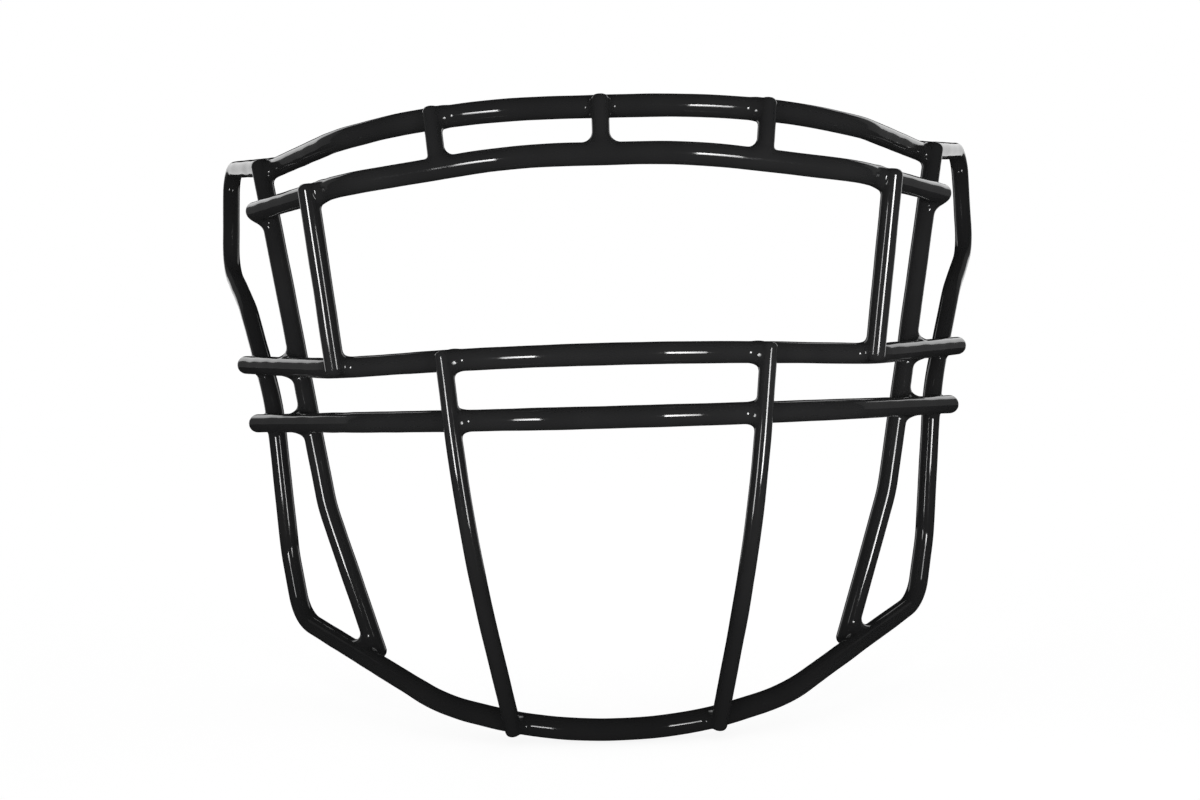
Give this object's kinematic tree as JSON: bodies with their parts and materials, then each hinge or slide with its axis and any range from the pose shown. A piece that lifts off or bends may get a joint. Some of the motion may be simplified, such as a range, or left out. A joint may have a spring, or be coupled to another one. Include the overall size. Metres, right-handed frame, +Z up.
{
  "type": "football helmet facemask",
  "caption": "Welded steel wire facemask for a football helmet, open eye window, closed rim, crossbars and uprights, glossy black dipped coat.",
  "frame": {"origin": "on the rim wire's axis at the middle of the brow, where the helmet's forehead clips grip it", "axes": "+X across the mask to the wearer's left, which is the right of a front view; +Y back towards the wearer's face; +Z up"},
  "size_m": [0.2936, 0.148, 0.1911],
  "materials": {
    "wire_steel": "drawn carbon steel wire, phosphated before dipping",
    "coat": "high gloss black polymer dip coat"
  },
  "bodies": {
    "root": {"rim": "wire_steel", "brow_bar": "wire_steel", "eye_bar": "wire_steel", "nose_bar": "wire_steel", "cheek_post_right": "wire_steel", "cheek_post_left": "wire_steel", "window_post_right": "wire_steel", "window_post_left": "wire_steel", "mouth_post_right": "wire_steel", "mouth_post_left": "wire_steel", "brow_post_right": "wire_steel", "brow_post_centre": "wire_steel", "brow_post_left": "wire_steel", "rim_coat": "coat", "brow_bar_coat": "coat", "eye_bar_coat": "coat", "nose_bar_coat": "coat", "cheek_post_coat_right": "coat", "cheek_post_coat_left": "coat", "window_post_coat_right": "coat", "window_post_coat_left": "coat", "mouth_post_coat_right": "coat", "mouth_post_coat_left": "coat", "brow_post_coat_right": "coat", "brow_post_coat_centre": "coat", "brow_post_coat_left": "coat"}
  },
  "joints": []
}
